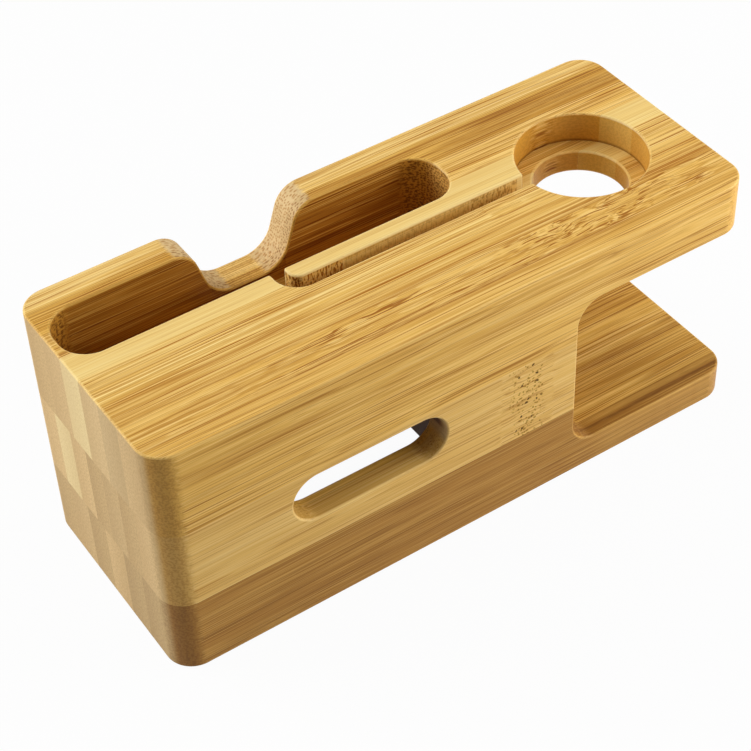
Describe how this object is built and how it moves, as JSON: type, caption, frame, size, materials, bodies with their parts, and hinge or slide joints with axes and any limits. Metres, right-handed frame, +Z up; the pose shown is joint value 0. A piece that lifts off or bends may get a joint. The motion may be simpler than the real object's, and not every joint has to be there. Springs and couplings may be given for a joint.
{
  "type": "charging station organizer",
  "caption": "Bamboo block with a phone slot, a notch in front of the screen, and a C-shaped watch arm with a round recess for a charger puck.",
  "frame": {"origin": "middle of the block's footprint, on the surface that it stands on", "axes": "+X along the block towards the watch arm's free end, +Y towards the side with the notch, -Y towards the side with the cable window, +Z up"},
  "size_m": [0.141, 0.055, 0.06],
  "materials": {
    "bamboo_pale": "satin",
    "bamboo_honey": "satin",
    "bamboo_gold": "satin",
    "bamboo_caramel": "satin",
    "bamboo_umber": "satin"
  },
  "bodies": {
    "root": {"top_strip_1": "bamboo_honey", "top_strip_2": "bamboo_caramel", "top_strip_3": "bamboo_gold", "top_strip_4": "bamboo_pale", "top_strip_5": "bamboo_honey", "top_strip_6": "bamboo_honey", "top_strip_7": "bamboo_gold", "top_strip_8": "bamboo_gold", "middle_strip_1": "bamboo_honey", "middle_strip_2": "bamboo_gold", "middle_strip_3": "bamboo_pale", "middle_strip_4": "bamboo_gold", "middle_strip_5": "bamboo_caramel", "middle_strip_6": "bamboo_gold", "middle_strip_7": "bamboo_caramel", "middle_strip_8": "bamboo_gold", "middle_strip_9": "bamboo_honey", "base_strip_1": "bamboo_gold", "base_strip_2": "bamboo_caramel", "base_strip_3": "bamboo_gold", "base_strip_4": "bamboo_caramel", "base_strip_5": "bamboo_gold", "base_strip_6": "bamboo_caramel", "base_strip_7": "bamboo_caramel", "base_strip_8": "bamboo_umber"}
  },
  "joints": []
}
